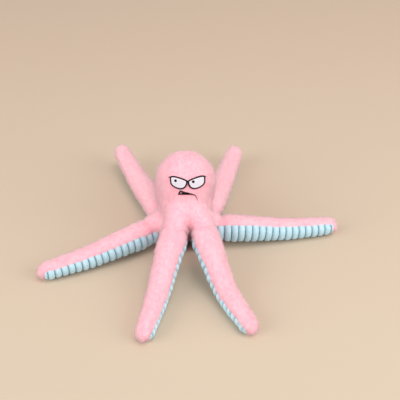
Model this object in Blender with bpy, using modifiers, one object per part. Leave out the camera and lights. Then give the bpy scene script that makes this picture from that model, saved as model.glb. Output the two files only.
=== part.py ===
# A plush octopus that sits on a table, leaning back on its rear legs: a stuffed head and
# six floppy legs, pink plush on top and ribbed blue fabric beneath.
# Metres, +Z up. The face looks along -Y, and the origin is on the table under the leg ring.

import math

import bmesh
import bpy
from mathutils import Matrix, Vector

# Body, measured along its own axis before it leans back
base_radius = 0.033
hub_radius = 0.038
hub_height = 0.022
neck_radius = 0.038
neck_height = 0.048
head_radius = 0.0432
head_middle_height = 0.087
body_height = 0.1315
lean_angle = math.radians(28)
lean_start_height = 0.022
lean_end_height = 0.074

# Fabric, filling and the gaps between sewn pieces
plush_thickness = 0.0015
ribbed_thickness = 0.0015
base_thickness = 0.0015
seam_gap = 0.00035
filling_gap = 0.0006
joint_gap = 0.0003

# Legs, measured from the middle of the root joint along the leg
leg_length = 0.174
settle_distance = 0.110
root_distance = 0.045
root_ball_radius = 0.017
shoulder_distance = 0.026
shoulder_radius = 0.0195
tip_radius = 0.013
tip_rounding = 0.016
knee_distance = 0.088
knee_step = 0.0009
knee_blend = 0.012
knee_opening = 0.0092
flat_depth = 0.0005
pole_radius = 0.001
rib_pitch = 0.0095
rib_depth = 0.0019

# Each leg, left and right as the viewer has them: its root's place round the body and its
# height, its heading at the root and at the tip, how far the tip is raised off the table,
# and how far the seam is rolled. Angles are in degrees, seen from above, from +X.
legs = {
    "front_left": {"root": 253, "height": 0.046, "heading": (257, 257), "raise": 0.0, "roll": 22},
    "front_right": {"root": 304, "height": 0.046, "heading": (284, 300), "raise": 0.0, "roll": -24},
    "right": {"root": 356, "height": 0.023, "heading": (1, 14), "raise": 0.0, "roll": -58},
    "rear_right": {"root": 47, "height": 0.021, "heading": (73, 76), "raise": 0.008, "roll": 0},
    "rear_left": {"root": 135, "height": 0.021, "heading": (117, 112), "raise": 0.018, "roll": 0},
    "left": {"root": 191, "height": 0.023, "heading": (212, 202), "raise": 0.0, "roll": 40},
}

# Each leg's socket in the body, with room for the shoulder when the leg lifts, and the
# seam allowance that holds the leg there
socket_radius = 0.0195
tab_gap = 0.0004
tab_depth = 0.0032
tab_thickness = 0.0024
tab_half_angle = math.radians(18)
swing_range = math.radians(20)
swing_margin = math.radians(2)

# Squeaker, on the body's axis
squeaker_radius = 0.019
squeaker_height = 0.028
squeaker_wall = 0.0012
nozzle_radius = 0.0055
nozzle_length = 0.008
reed_bore_radius = 0.0012
reed_length = 0.007
reed_flange = 0.001
squeaker_gap = 0.0005
squeaker_round_share = 0.7

# Face, in the front view of the body before it leans, set a little to one side
face_side = 0.0040
face_height = 0.0934
eye_width = 0.0220
eye_gap = 0.0024
eye_rise = 0.0043
eye_bow = 0.0027
eye_drop = 0.0119
# From an eye's inner corner to its outer: how fully its upper and its lower lid curve.
eye_bow_shares = (0.60, 1.25)
eye_round_shares = (0.95, 0.40)
line_radius = 0.0007
patch_thickness = 0.0009
pupil_radius = 0.0018
pupil_thickness = 0.0006
left_pupil_shares = (0.69, 0.80)
right_pupil_shares = (0.29, 0.82)
mouth_drop = 0.0165
mouth_half_length = 0.0130
mouth_slope = 0.0040
mouth_half_width = 0.0024
mouth_half_thickness = 0.0005
# Along the mouth from its left end: share of its length, rise as a share of its half
# width, and half width as a share of the widest.
mouth_shares = ((0.0, -0.5, 0.12), (0.08, 0.0, 0.62), (0.14, 0.4, 1.0), (0.22, 0.2, 0.72),
                (0.45, 0.1, 0.42), (0.75, 0.0, 0.36), (1.0, -0.4, 0.08))

# Colours as linear RGB, and roughness
pink = (0.95, 0.55, 0.66)
blue = (0.40, 0.68, 0.76)
white = (0.86, 0.83, 0.88)
maroon = (0.045, 0.012, 0.02)
fibre = (0.9, 0.9, 0.88)
plastic = (0.85, 0.85, 0.8)

# Mesh fineness
turn_steps = 20
squeaker_turn_steps = 14
bulb_rings = 7
waist_rings = 3
skirt_rings = 2
neck_rings = 3
arc_sides = 4
ball_steps = 3
tip_steps = 3
cover_step = 0.014
socket_segments = 16
socket_rings = 8
eye_points = 22
eye_ring_shares = (0.3, 0.3)
overrun = 0.002
weld_distance = 0.00001


def material(name, colour, roughness):
    made = bpy.data.materials.new(name)
    made.use_nodes = True
    shader = made.node_tree.nodes["Principled BSDF"]
    shader.inputs["Base Color"].default_value = (*colour, 1)
    shader.inputs["Roughness"].default_value = roughness
    shader.inputs["Metallic"].default_value = 0
    return made


def smooth(share):
    share = min(1, max(0, share))
    return share * share * (3 - 2 * share)


def between(low, high, share):
    return low + (high - low) * share


# Helpers that place objects and turn curves and modifiers into plain meshes

def link(obj, collection):
    for holder in list(obj.users_collection):
        holder.objects.unlink(obj)
    collection.objects.link(obj)
    return obj


def plain(obj):
    # Replaces a curve, or a mesh with modifiers, by the mesh that it evaluates to.
    graph = bpy.context.evaluated_depsgraph_get()
    mesh = bpy.data.meshes.new_from_object(obj.evaluated_get(graph))
    mesh.transform(obj.matrix_world)
    shape = bmesh.new()
    shape.from_mesh(mesh)
    bmesh.ops.remove_doubles(shape, verts=shape.verts, dist=weld_distance)
    shape.to_mesh(mesh)
    shape.free()
    name = obj.name
    bpy.data.objects.remove(obj)
    made = bpy.data.objects.new(name, mesh)
    parts.objects.link(made)
    bpy.context.view_layer.update()
    return made


def thicken(obj, thickness):
    # A wall inwards from an open surface whose faces look outwards.
    solidify = obj.modifiers.new("wall", "SOLIDIFY")
    solidify.thickness = thickness
    solidify.offset = -1
    return plain(obj)


def cut(obj, cutter):
    boolean = obj.modifiers.new("cut", "BOOLEAN")
    boolean.operation = "DIFFERENCE"
    boolean.solver = "EXACT"
    boolean.object = cutter
    return boolean


def as_cutter(obj):
    link(obj, cutters)
    obj.hide_render = True
    obj.display_type = "WIRE"
    return obj


def finish(obj, surface, sharp_angle=math.radians(50)):
    obj.data.materials.clear()
    obj.data.materials.append(surface)
    obj.data.shade_smooth()
    obj.data.set_sharp_from_angle(angle=sharp_angle)
    return obj


# Body outline and its lean

def body_radius(height):
    if height < hub_height:
        share = (hub_height - height) / hub_height
        return between(base_radius, hub_radius, math.sqrt(1 - share * share))
    if height < neck_height:
        share = (height - hub_height) / (neck_height - hub_height)
        return between(hub_radius, neck_radius, smooth(share))
    if height < head_middle_height:
        share = (height - neck_height) / (head_middle_height - neck_height)
        return between(neck_radius, head_radius, smooth(share))
    share = (height - head_middle_height) / (body_height - head_middle_height)
    return head_radius * math.sqrt(max(0, 1 - share * share))


def leaned(point, rigid=False):
    # Bends back between two heights. What is rigid turns as the head does, unbent.
    share = smooth((point.z - lean_start_height) / (lean_end_height - lean_start_height))
    pivot = Vector((0, 0, lean_start_height))
    angle = lean_angle if rigid else lean_angle * share
    return pivot + Matrix.Rotation(-angle, 3, "X") @ (Vector(point) - pivot)


def lean(obj, rigid=False):
    # Leans a shape back, its faces split first because they wouldn't stay flat.
    shape = bmesh.new()
    shape.from_mesh(obj.data)
    bmesh.ops.triangulate(shape, faces=shape.faces)
    for vertex in shape.verts:
        vertex.co = leaned(vertex.co, rigid)
    shape.to_mesh(obj.data)
    shape.free()
    return obj


def body_heights(low, high):
    # Heights from high down to low, closer together on the crown.
    heights = []
    for i in range(bulb_rings + 1):
        angle = math.pi / 2 * (1 - i / bulb_rings)
        heights.append(between(head_middle_height, body_height, math.sin(angle)))
    for i in range(1, neck_rings + 1):
        heights.append(between(head_middle_height, neck_height, i / neck_rings))
    for i in range(1, waist_rings + 1):
        heights.append(between(neck_height, hub_height, i / waist_rings))
    for i in range(1, skirt_rings + 1):
        heights.append(between(hub_height, 0, i / skirt_rings))
    inside = [h for h in heights if low < h < high]
    return [high, *inside, low]


def turned(name, outline, steps=turn_steps):
    # Turns (radius, height) points, given from the top down, round the Z axis.
    mesh = bpy.data.meshes.new(name)
    mesh.from_pydata([(r, 0, z) for r, z in outline], [(i, i + 1) for i in range(len(outline) - 1)], [])
    obj = bpy.data.objects.new(name, mesh)
    parts.objects.link(obj)
    screw = obj.modifiers.new("turn", "SCREW")
    screw.axis = "Z"
    screw.angle = math.tau
    screw.steps = steps
    screw.render_steps = steps
    screw.use_merge_vertices = True
    screw.merge_threshold = weld_distance
    screw.use_smooth_shade = True
    return plain(obj)


def body_outline(inset, low, high):
    # (radius, height) points from high down to low, drawn in by inset.
    outline = []
    crown = body_height - head_middle_height
    for height in body_heights(low, high):
        rise = max(0, height - head_middle_height) / crown
        outline.append((max(0, body_radius(height) - inset), height - inset * rise))
    return outline


# Legs

def rest_point(leg, distance):
    # The middle of the leg at a distance from its root joint, lying on the table.
    start, end = (math.radians(a) for a in leg["heading"])
    turn = (end - start) * distance / leg_length / 2
    chord = distance if abs(turn) < 1e-6 else distance * math.sin(turn) / turn
    root = math.radians(leg["root"])
    share = max(0, distance / leg_length)
    height = between(leg["height"], resting_height(leg, distance), smooth(distance / settle_distance))
    height += leg["raise"] * share * share
    return Vector((root_distance * math.cos(root) + chord * math.cos(start + turn),
                   root_distance * math.sin(root) + chord * math.sin(start + turn),
                   height))


def half_point(leg, distance, joint):
    # The middle of one half of the leg, straight back through its joint's ball.
    if distance >= joint:
        return rest_point(leg, distance)
    here = rest_point(leg, joint)
    ahead = rest_point(leg, joint + knee_blend)
    return here + (ahead - here).normalized() * (distance - joint)


def leg_radius(distance, inset=0):
    # The radius of a leg's outside, or of what lies inset from it.
    if distance < 0:
        return math.sqrt(max(0, (root_ball_radius - inset) ** 2 - distance ** 2))
    if distance < shoulder_distance:
        return between(root_ball_radius, shoulder_radius, smooth(distance / shoulder_distance)) - inset
    straight = leg_length - tip_rounding
    if distance < straight:
        share = (distance - shoulder_distance) / (straight - shoulder_distance)
        return between(shoulder_radius, tip_radius, share) - inset
    share = min(1, (distance - straight) / (tip_rounding - inset))
    return (tip_radius - inset) * math.sqrt(1 - share * share)


knee_ball_radius = leg_radius(knee_distance) - knee_step


def outer_radius(distance, inset=0):
    # The outer half of a leg: a ball in the knee, then the leg's own size.
    past = distance - knee_distance
    if past < 0:
        return math.sqrt(max(0, (knee_ball_radius - inset) ** 2 - past ** 2))
    if distance < leg_length - tip_rounding:
        return between(knee_ball_radius - inset, leg_radius(distance, inset), smooth(past / knee_blend))
    return leg_radius(distance, inset)


def lowest_share(roll):
    # How far the rolled section's lowest corner is below its middle, for a radius of 1.
    corners = [math.pi * i / arc_sides + math.radians(roll) for i in range(2 * arc_sides)]
    return max(-math.sin(corner) for corner in corners)


def resting_height(leg, distance):
    # Just low enough for the table to flatten the leg a little.
    radius = leg_radius(min(max(distance, shoulder_distance), leg_length - tip_rounding))
    return radius * lowest_share(leg["roll"]) - flat_depth


def ball_run(joint, radius):
    # Distances at even angles behind a joint, from the ball's pole.
    first = math.acos(pole_radius / radius)
    return [joint - radius * math.sin(first * (1 - i / ball_steps)) for i in range(ball_steps)]


def tip_run(inset):
    # Distances at even angles round the tip, to its pole.
    last = math.acos(pole_radius / (tip_radius - inset))
    straight = leg_length - tip_rounding
    depth = tip_rounding - inset
    return [straight + depth * math.sin(last * i / tip_steps) for i in range(1, tip_steps + 1)]


def even_run(low, high, step):
    count = max(1, round((high - low) / step))
    return [between(low, high, i / count) for i in range(count + 1)]


def rib_run(low, high):
    # Distances of the ribs' edges and middles.
    half = rib_pitch / 2
    return [i * half for i in range(math.ceil(low / half), math.floor(high / half) + 1)]


def sweep(name, leg, joint, distances, radius, profile=None):
    # A round tube, or one with the profile, along half of the leg through the distances.
    path = bpy.data.curves.new(name, "CURVE")
    path.dimensions = "3D"
    path.twist_mode = "Z_UP"
    if profile:
        path.bevel_mode = "OBJECT"
        path.bevel_object = profile
    else:
        path.bevel_depth = 1
        path.bevel_resolution = arc_sides - 2
    path.use_fill_caps = True
    spline = path.splines.new("POLY")
    spline.points.add(len(distances) - 1)
    for point, distance in zip(spline.points, distances):
        point.co = (*half_point(leg, distance, joint), 1)
        point.radius = radius(distance)
        point.tilt = math.radians(leg["roll"])
    obj = bpy.data.objects.new(name, path)
    parts.objects.link(obj)
    return plain(obj)


def half_disc(name, upper):
    # Half a disc of radius 1, closed, a little short of the seam.
    short = seam_gap / 2 / tip_radius
    side = 1 if upper else -1
    first = math.asin(short)
    flat = bpy.data.curves.new(name, "CURVE")
    flat.dimensions = "2D"
    flat.fill_mode = "NONE"
    spline = flat.splines.new("POLY")
    spline.points.add(arc_sides)
    for i, point in enumerate(spline.points):
        angle = between(first, math.pi - first, i / arc_sides)
        point.co = (side * math.cos(angle), side * math.sin(angle), 0, 1)
    spline.use_cyclic_u = True
    return as_cutter(bpy.data.objects.new(name, flat))


def press_flat(obj):
    # The table flattens whatever lies on it.
    for vertex in obj.data.vertices:
        vertex.co.z = max(0, vertex.co.z)
    return obj


def point_out(obj):
    # Turns every face outwards.
    shape = bmesh.new()
    shape.from_mesh(obj.data)
    bmesh.ops.recalc_face_normals(shape, faces=shape.faces)
    shape.to_mesh(obj.data)
    shape.free()
    return obj


def leg_half(name, leg, outer, body):
    joint = knee_distance if outer else 0
    ball = knee_ball_radius if outer else root_ball_radius
    radius = outer_radius if outer else leg_radius
    far = leg_length - tip_rounding if outer else knee_distance - knee_opening

    def run(middle, inset=0):
        return [*ball_run(joint, ball - inset), *middle, *(tip_run(inset) if outer else [])]

    def grooved(distance):
        # The outside radius, less a groove at every rib's edge.
        phase = distance / rib_pitch
        in_groove = joint < distance < far and abs(phase - round(phase)) < 0.25
        return radius(distance) - (rib_depth if in_groove else 0)

    def inside(piece, inset):
        # A tube in the leg, inset from its outside, past the end that is open.
        past = 0 if outer else overrun
        return sweep(piece, leg, joint, run(even_run(joint, far + past, cover_step), inset),
                     lambda distance: radius(distance, inset))

    def skin(piece, middle, shape, profile, inset, surface):
        made = sweep(piece, leg, joint, run(middle), shape, profile)
        cut(point_out(made), as_cutter(point_out(inside(piece + "_hollow", inset))))
        return finish(press_flat(plain(made)), surface)

    ribs = [d for d in rib_run(joint, far) if min(d - joint, far - d) > rib_pitch / 4]
    cover = skin(name + "_cover", even_run(joint, far, cover_step), radius, upper_half, plush_thickness, plush)
    underside = skin(name + "_underside", [joint, *ribs, far], grooved, lower_half,
                     rib_depth + ribbed_thickness, ribbed_blue)

    inset = rib_depth + ribbed_thickness + filling_gap
    filling = sweep(name + "_filling", leg, joint, run(even_run(joint, far, cover_step), inset),
                    lambda distance: radius(distance, inset))
    if not outer:
        cut(point_out(filling), ball_cutter(name + "_knee_socket", rest_point(leg, knee_distance),
                                            knee_ball_radius + joint_gap))
        filling = plain(filling)
    finish(press_flat(point_out(filling)), stuffing)
    for piece in (cover, underside, filling):
        attach(piece, body)


def ball_cutter(name, centre, radius, direction=0):
    # A ball whose flat facets all clear a ball of the given radius, its poles along the
    # level direction.
    size = radius / math.cos(math.pi / socket_segments) / math.cos(math.pi / socket_rings / 2)
    shape = bmesh.new()
    bmesh.ops.create_uvsphere(shape, u_segments=socket_segments, v_segments=socket_rings, radius=size)
    mesh = bpy.data.meshes.new(name)
    shape.to_mesh(mesh)
    shape.free()
    obj = bpy.data.objects.new(name, mesh)
    obj.matrix_world = (Matrix.Translation(centre) @ Matrix.Rotation(direction, 4, "Z")
                        @ Matrix.Rotation(math.pi / 2, 4, "Y"))
    return as_cutter(obj)


def attach(obj, joint):
    obj.parent = joint
    obj.matrix_parent_inverse = joint.matrix_world.inverted()


def joint_empty(name, place, parent=None):
    empty = bpy.data.objects.new(name, None)
    parts.objects.link(empty)
    empty.matrix_world = Matrix.Translation(place)
    bpy.context.view_layer.update()
    if parent:
        attach(empty, parent)
        bpy.context.view_layer.update()
    return empty


def sector(name, centre, direction, inner, outer, half_angle, thickness):
    # A flat ring sector round a centre, lying level.
    flat = bpy.data.curves.new(name, "CURVE")
    flat.dimensions = "2D"
    flat.fill_mode = "BOTH"
    flat.extrude = thickness / 2
    steps = 6
    angles = [between(-half_angle, half_angle, i / steps) for i in range(steps + 1)]
    outline = [(inner, a) for a in angles] + [(outer, a) for a in reversed(angles)]
    spline = flat.splines.new("POLY")
    spline.points.add(len(outline) - 1)
    for point, (reach, angle) in zip(spline.points, outline):
        point.co = (reach * math.cos(angle), reach * math.sin(angle), 0, 1)
    spline.use_cyclic_u = True
    obj = bpy.data.objects.new(name, flat)
    parts.objects.link(obj)
    obj.matrix_world = Matrix.Translation(centre) @ Matrix.Rotation(direction, 4, "Z")
    bpy.context.view_layer.update()
    return plain(obj)


def build_legs(body):
    for name, leg in legs.items():
        root = rest_point(leg, 0)
        knee = rest_point(leg, knee_distance)
        swing = joint_empty(name + "_swing", root, body)
        lift = joint_empty(name + "_lift", root, swing)
        bend = joint_empty(name + "_bend", knee, lift)
        inward = math.radians(leg["root"]) + math.pi
        tab_inner = root_ball_radius + tab_gap
        tab = sector(name + "_leg_seam", root, inward, tab_inner, tab_inner + tab_depth,
                     tab_half_angle, tab_thickness)
        attach(finish(point_out(tab), plush), swing)
        leg_half(name + "_leg_inner", leg, False, lift)
        leg_half(name + "_leg_outer", leg, True, bend)


def socket_cutters():
    made = []
    for name, leg in legs.items():
        made.append(ball_cutter(name + "_socket", rest_point(leg, 0), socket_radius,
                                math.radians(leg["root"])))
    return made


def slot_cutters():
    made = []
    for name, leg in legs.items():
        inner = root_ball_radius
        outer = root_ball_radius + tab_gap + tab_depth + joint_gap
        slot = sector(name + "_slot", rest_point(leg, 0), math.radians(leg["root"]) + math.pi, inner, outer,
                      tab_half_angle + swing_range + swing_margin, tab_thickness + 2 * joint_gap)
        made.append(as_cutter(point_out(slot)))
    return made


# Body pieces

def cut_all(obj, tools):
    for tool in tools:
        cut(obj, tool)
    return plain(obj)


def half_space(name, side):
    # Everything behind (1) or in front of (-1) the side seams.
    size = body_height + overrun
    bpy.ops.mesh.primitive_cube_add(size=2 * size, location=(0, side * (size - seam_gap / 2), 0))
    box = bpy.context.object
    box.name = name
    return as_cutter(box)


def head_shell(name, side, sockets, body):
    # Half of the head's plush bag, front (-1) or back (1).
    bag = turned(name, body_outline(0, base_thickness + seam_gap, body_height))
    bag = point_out(thicken(bag, plush_thickness))
    cut(bag, half_space(name + "_half", -side))
    shell = cut_all(lean(plain(bag)), sockets)
    attach(finish(shell, plush), body)


def base_panel(body):
    outline = [(0, base_thickness), (base_radius, base_thickness), (base_radius, 0), (0, 0)]
    panel = turned("base_panel", outline)
    attach(finish(point_out(panel), ribbed_blue), body)


def squeaker_outline(inset):
    # The squeaker from its top down, with a ball-shaped end and a nozzle, drawn in by inset.
    top = head_middle_height + squeaker_height / 2
    bottom = head_middle_height - squeaker_height / 2
    radius = squeaker_radius - inset
    half = squeaker_height / 2 - inset
    outline = []
    steps = 5
    for i in range(steps + 1):
        angle = math.pi / 2 * (1 - i / steps)
        outline.append((radius * math.cos(angle) ** squeaker_round_share,
                        head_middle_height + half * math.sin(angle)))
    nozzle = nozzle_radius - inset
    last = math.acos((nozzle / radius) ** (1 / squeaker_round_share))
    for i in range(1, steps + 1):
        angle = last * i / steps
        outline.append((radius * math.cos(angle) ** squeaker_round_share,
                        head_middle_height - half * math.sin(angle)))
    outline[0] = (0, top - inset)
    outline.append((nozzle, bottom - nozzle_length))
    return outline


def squeaker(body):
    outside = squeaker_outline(0)
    inside = squeaker_outline(squeaker_wall)
    bulb = turned("squeaker_bulb", [*outside, *reversed(inside)], squeaker_turn_steps)
    attach(finish(lean(point_out(bulb), rigid=True), squeaker_plastic), body)
    end = head_middle_height - squeaker_height / 2 - nozzle_length
    bore = nozzle_radius - squeaker_wall - joint_gap
    outline = [(reed_bore_radius, end + reed_length), (bore, end + reed_length), (bore, end - joint_gap),
               (nozzle_radius, end - joint_gap), (nozzle_radius, end - joint_gap - reed_flange),
               (reed_bore_radius, end - joint_gap - reed_flange), (reed_bore_radius, end + reed_length)]
    reed = turned("squeaker_reed", outline, squeaker_turn_steps)
    attach(finish(lean(point_out(reed), rigid=True), squeaker_plastic), body)


def pocket_cutter():
    # The space that the squeaker takes in the filling.
    outline = squeaker_outline(-squeaker_gap)
    low = head_middle_height - squeaker_height / 2 - nozzle_length - reed_flange - joint_gap - squeaker_gap
    wide = nozzle_radius + squeaker_gap
    outline[-1] = (wide, low)
    outline.append((0, low))
    return as_cutter(point_out(lean(turned("squeaker_pocket", outline, squeaker_turn_steps), rigid=True)))


def filling_block(name, low, high, pocket, tools, body):
    outline = body_outline(plush_thickness + filling_gap, low, high)
    if high < body_height:
        outline.insert(0, (0, high))
    outline.append((0, low))
    block = lean(turned(name, outline))
    block = cut_all(point_out(block), [pocket, *tools])
    attach(finish(block, stuffing), body)


# Face

def on_face(x, z):
    # The point of the head's front that shows at x, z from the front, before the lean.
    x += face_side
    return leaned(Vector((x, -math.sqrt(max(0, body_radius(z) ** 2 - x ** 2)), z)))


def face_normal(x, z):
    across = on_face(x + pupil_radius, z) - on_face(x - pupil_radius, z)
    upward = on_face(x, z + pupil_radius) - on_face(x, z - pupil_radius)
    return across.cross(upward).normalized()


def face_point(x, z, proud):
    return on_face(x, z) + face_normal(x, z) * proud


def eye_edge(side, angle):
    # The eye's edge, from its inner corner along the lower lid and back along the upper.
    across = (1 - math.cos(angle)) / 2
    x = side * (eye_gap / 2 + eye_width * across)
    lid = face_height + eye_rise * across
    if angle <= math.pi:
        return x, lid - eye_drop * math.sin(angle) ** between(*eye_round_shares, across)
    return x, lid + eye_bow * between(*eye_bow_shares, across) * math.sin(math.tau - angle)


def eye_middle(side):
    return side * (eye_gap + eye_width) / 2, face_height + (eye_rise - eye_drop) / 2


def eye_patch(name, side, body):
    # The white of an eye: rings from its middle out to just inside its line.
    shape = bmesh.new()
    bmesh.ops.create_circle(shape, cap_ends=True, segments=eye_points, radius=1)
    for share in eye_ring_shares:
        face = max(shape.faces, key=lambda f: len(f.verts))
        bmesh.ops.inset_individual(shape, faces=[face], thickness=share)
    middle_x, middle_z = eye_middle(side)
    clear = line_radius + 2 * seam_gap
    keep_across = 1 - 2 * clear / eye_width
    keep_down = 1 - 2 * clear / eye_drop
    for vertex in shape.verts:
        angle = math.atan2(vertex.co.y, vertex.co.x) % math.tau
        edge_x, edge_z = eye_edge(side, angle)
        reach = vertex.co.length
        vertex.co = face_point(between(middle_x, edge_x, reach * keep_across),
                               between(middle_z, edge_z, reach * keep_down), seam_gap + patch_thickness)
    mesh = bpy.data.meshes.new(name)
    shape.normal_update()
    shape.to_mesh(mesh)
    shape.free()
    obj = bpy.data.objects.new(name, mesh)
    parts.objects.link(obj)
    if sum(p.normal.y for p in mesh.polygons) > 0:
        mesh.flip_normals()
    patch = thicken(obj, patch_thickness)
    attach(finish(point_out(patch), eye_white), body)


def face_cord(name, points, radii, cyclic, body, profile=None):
    # A line of stitching on the face.
    path = bpy.data.curves.new(name, "CURVE")
    path.dimensions = "3D"
    path.twist_mode = "Z_UP"
    if profile:
        path.bevel_mode = "OBJECT"
        path.bevel_object = profile
    else:
        path.bevel_depth = 1
        path.bevel_resolution = 1
    path.use_fill_caps = True
    spline = path.splines.new("POLY")
    spline.points.add(len(points) - 1)
    for point, place, radius in zip(spline.points, points, radii):
        point.co = (*place, 1)
        point.radius = radius
    spline.use_cyclic_u = cyclic
    obj = bpy.data.objects.new(name, path)
    parts.objects.link(obj)
    attach(finish(point_out(plain(obj)), stitching), body)


def eye_line(name, side, body):
    proud = seam_gap + line_radius
    corners = [eye_edge(side, math.tau * (i + 0.5) / eye_points) for i in range(eye_points)]
    points = [face_point(x, z, proud) for x, z in corners]
    face_cord(name, points, [line_radius] * eye_points, True, body)


def pupil(name, side, shares, body):
    x = side * (eye_gap / 2 + eye_width * shares[0])
    low = face_height + eye_rise * shares[0] - eye_drop
    z = low + eye_drop * shares[1]
    middle = face_point(x, z, 2 * seam_gap + patch_thickness + pupil_thickness / 2)
    bpy.ops.mesh.primitive_cylinder_add(vertices=10, radius=pupil_radius, depth=pupil_thickness)
    disc = bpy.context.object
    disc.name = name
    link(disc, parts)
    turn = face_normal(x, z).to_track_quat("Z", "Y").to_matrix().to_4x4()
    disc.matrix_world = Matrix.Translation(middle) @ turn
    bpy.context.view_layer.update()
    attach(finish(plain(disc), stitching), body)


def mouth(body):
    flat = bpy.data.curves.new("mouth_section", "CURVE")
    flat.dimensions = "2D"
    flat.fill_mode = "NONE"
    spline = flat.splines.new("POLY")
    sides = 8
    spline.points.add(sides - 1)
    for i, point in enumerate(spline.points):
        angle = math.tau * (i + 0.5) / sides
        point.co = (mouth_half_thickness / mouth_half_width * math.cos(angle), math.sin(angle), 0, 1)
    spline.use_cyclic_u = True
    section = as_cutter(bpy.data.objects.new("mouth_section", flat))
    points, radii = [], []
    for along, rise, wide in mouth_shares:
        x = between(-mouth_half_length, mouth_half_length, along)
        z = face_height - mouth_drop - mouth_slope * along + rise * mouth_half_width
        points.append(face_point(x, z, seam_gap + mouth_half_thickness))
        radii.append(wide * mouth_half_width)
    face_cord("mouth", points, radii, False, body, section)


def build_body(body):
    sockets = socket_cutters()
    slots = slot_cutters()
    head_shell("head_front", -1, sockets, body)
    head_shell("head_back", 1, sockets, body)
    base_panel(body)
    squeaker(body)
    pocket = pocket_cutter()
    split = head_middle_height
    filling_block("crown_filling", split + seam_gap / 2, body_height, pocket, [], body)
    filling_block("neck_filling", base_thickness + seam_gap, split - seam_gap / 2, pocket,
                  [*sockets, *slots], body)
    eye_patch("left_eye_white", -1, body)
    eye_patch("right_eye_white", 1, body)
    eye_line("left_eye_line", -1, body)
    eye_line("right_eye_line", 1, body)
    pupil("left_pupil", -1, left_pupil_shares, body)
    pupil("right_pupil", 1, right_pupil_shares, body)
    mouth(body)


for old in list(bpy.data.objects):
    bpy.data.objects.remove(old)
parts = bpy.data.collections.new("plush_octopus")
bpy.context.scene.collection.children.link(parts)
cutters = bpy.data.collections.new("cutters")
bpy.context.scene.collection.children.link(cutters)

plush = material("pink_plush", pink, 0.95)
ribbed_blue = material("ribbed_blue", blue, 0.9)
eye_white = material("eye_white", white, 0.8)
stitching = material("maroon_stitching", maroon, 0.7)
stuffing = material("filling_fibre", fibre, 1.0)
squeaker_plastic = material("squeaker_plastic", plastic, 0.4)

upper_half = half_disc("upper_half", True)
lower_half = half_disc("lower_half", False)

body_empty = joint_empty("body", Vector((0, 0, 0)))
build_legs(body_empty)
build_body(body_empty)
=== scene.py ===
import math

import bmesh
import bpy
import numpy as np
from mathutils import Matrix, Vector, noise


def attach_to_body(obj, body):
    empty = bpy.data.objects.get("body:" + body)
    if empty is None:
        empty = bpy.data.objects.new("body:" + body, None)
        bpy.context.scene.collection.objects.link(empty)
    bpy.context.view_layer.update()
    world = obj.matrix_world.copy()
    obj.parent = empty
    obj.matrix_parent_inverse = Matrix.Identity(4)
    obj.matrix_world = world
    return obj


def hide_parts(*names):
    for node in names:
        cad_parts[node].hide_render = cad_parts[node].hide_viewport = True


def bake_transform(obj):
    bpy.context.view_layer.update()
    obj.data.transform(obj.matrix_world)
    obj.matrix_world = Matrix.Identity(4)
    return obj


# A plush octopus: pink pile above, puffy ribbed blue cloth beneath, a sewn face.
# Metres, +Z up, the face looks along -Y.

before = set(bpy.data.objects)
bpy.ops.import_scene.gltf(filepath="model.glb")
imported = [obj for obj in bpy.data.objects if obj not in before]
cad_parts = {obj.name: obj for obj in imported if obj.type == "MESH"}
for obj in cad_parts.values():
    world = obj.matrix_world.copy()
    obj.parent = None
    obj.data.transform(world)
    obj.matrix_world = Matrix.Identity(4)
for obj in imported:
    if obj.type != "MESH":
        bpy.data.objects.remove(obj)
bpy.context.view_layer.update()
scene = bpy.context.scene
print("frame loaded")


# Small helpers

def between(low, high, share):
    return low + (high - low) * share


def smooth(share):
    share = min(1, max(0, share))
    return share * share * (3 - 2 * share)


def fade(value, start, length):
    return smooth((value - start) / length)


def evenly(outline, count):
    # The points at equal steps along an outline.
    points = np.array(outline)
    gone = np.concatenate([[0], np.cumsum(np.linalg.norm(np.diff(points, axis=0), axis=1))])
    at = np.linspace(0, gone[-1], count + 1)
    return np.stack([np.interp(at, gone, points[:, i]) for i in range(points.shape[1])], 1)


def addObject(name, data):
    made = bpy.data.objects.new(name, data)
    scene.collection.objects.link(made)
    return made


def makeObject(name, shape, material=None):
    shape.normal_update()
    bmesh.ops.recalc_face_normals(shape, faces=shape.faces)
    mesh = bpy.data.meshes.new(name)
    shape.to_mesh(mesh)
    shape.free()
    mesh.shade_smooth()
    if material:
        mesh.materials.append(material)
    return addObject(name, mesh)


def inOrder(ball):
    # The ball with its faces in a fixed order, so that the same pile grows on it each time.
    shape = bmesh.new()
    ball.verts.index_update()
    for corner in ball.verts:
        shape.verts.new(corner.co)
    shape.verts.ensure_lookup_table()
    faces = []
    for face in ball.faces:
        corners = [corner.index for corner in face.verts]
        first = corners.index(min(corners))
        faces.append(corners[first:] + corners[:first])
    for corners in sorted(faces, key=sorted):
        shape.faces.new([shape.verts[i] for i in corners])
    ball.free()
    return shape


def shapedBall(name, around, along, place, material=None):
    # A closed ball whose corners are then moved: place gets the turn round it, from -pi to pi,
    # and the share of the way from its lower pole to its upper one.
    ball = bmesh.new()
    bmesh.ops.create_uvsphere(ball, u_segments=around, v_segments=along, radius=1)
    shape = inOrder(ball)
    for corner in shape.verts:
        turn = math.atan2(corner.co.y, corner.co.x)
        share = 1 - math.acos(max(-1, min(1, corner.co.z))) / math.pi
        corner.co = place(turn, share)
    return makeObject(name, shape, material)


def shapedRing(name, along, around, place, material, closed=True):
    # A tube round a path: place gets the share along the path and the turn round the tube.
    shape = bmesh.new()
    bmesh.ops.create_grid(shape, x_segments=along, y_segments=around, size=0.5)
    for corner in shape.verts:
        corner.co = place(corner.co.x + 0.5, (corner.co.y + 0.5) * math.tau)
    bmesh.ops.remove_doubles(shape, verts=shape.verts, dist=0.000004)
    if not closed:
        bmesh.ops.holes_fill(shape, edges=[e for e in shape.edges if e.is_boundary], sides=0)
    return makeObject(name, shape, material)


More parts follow.
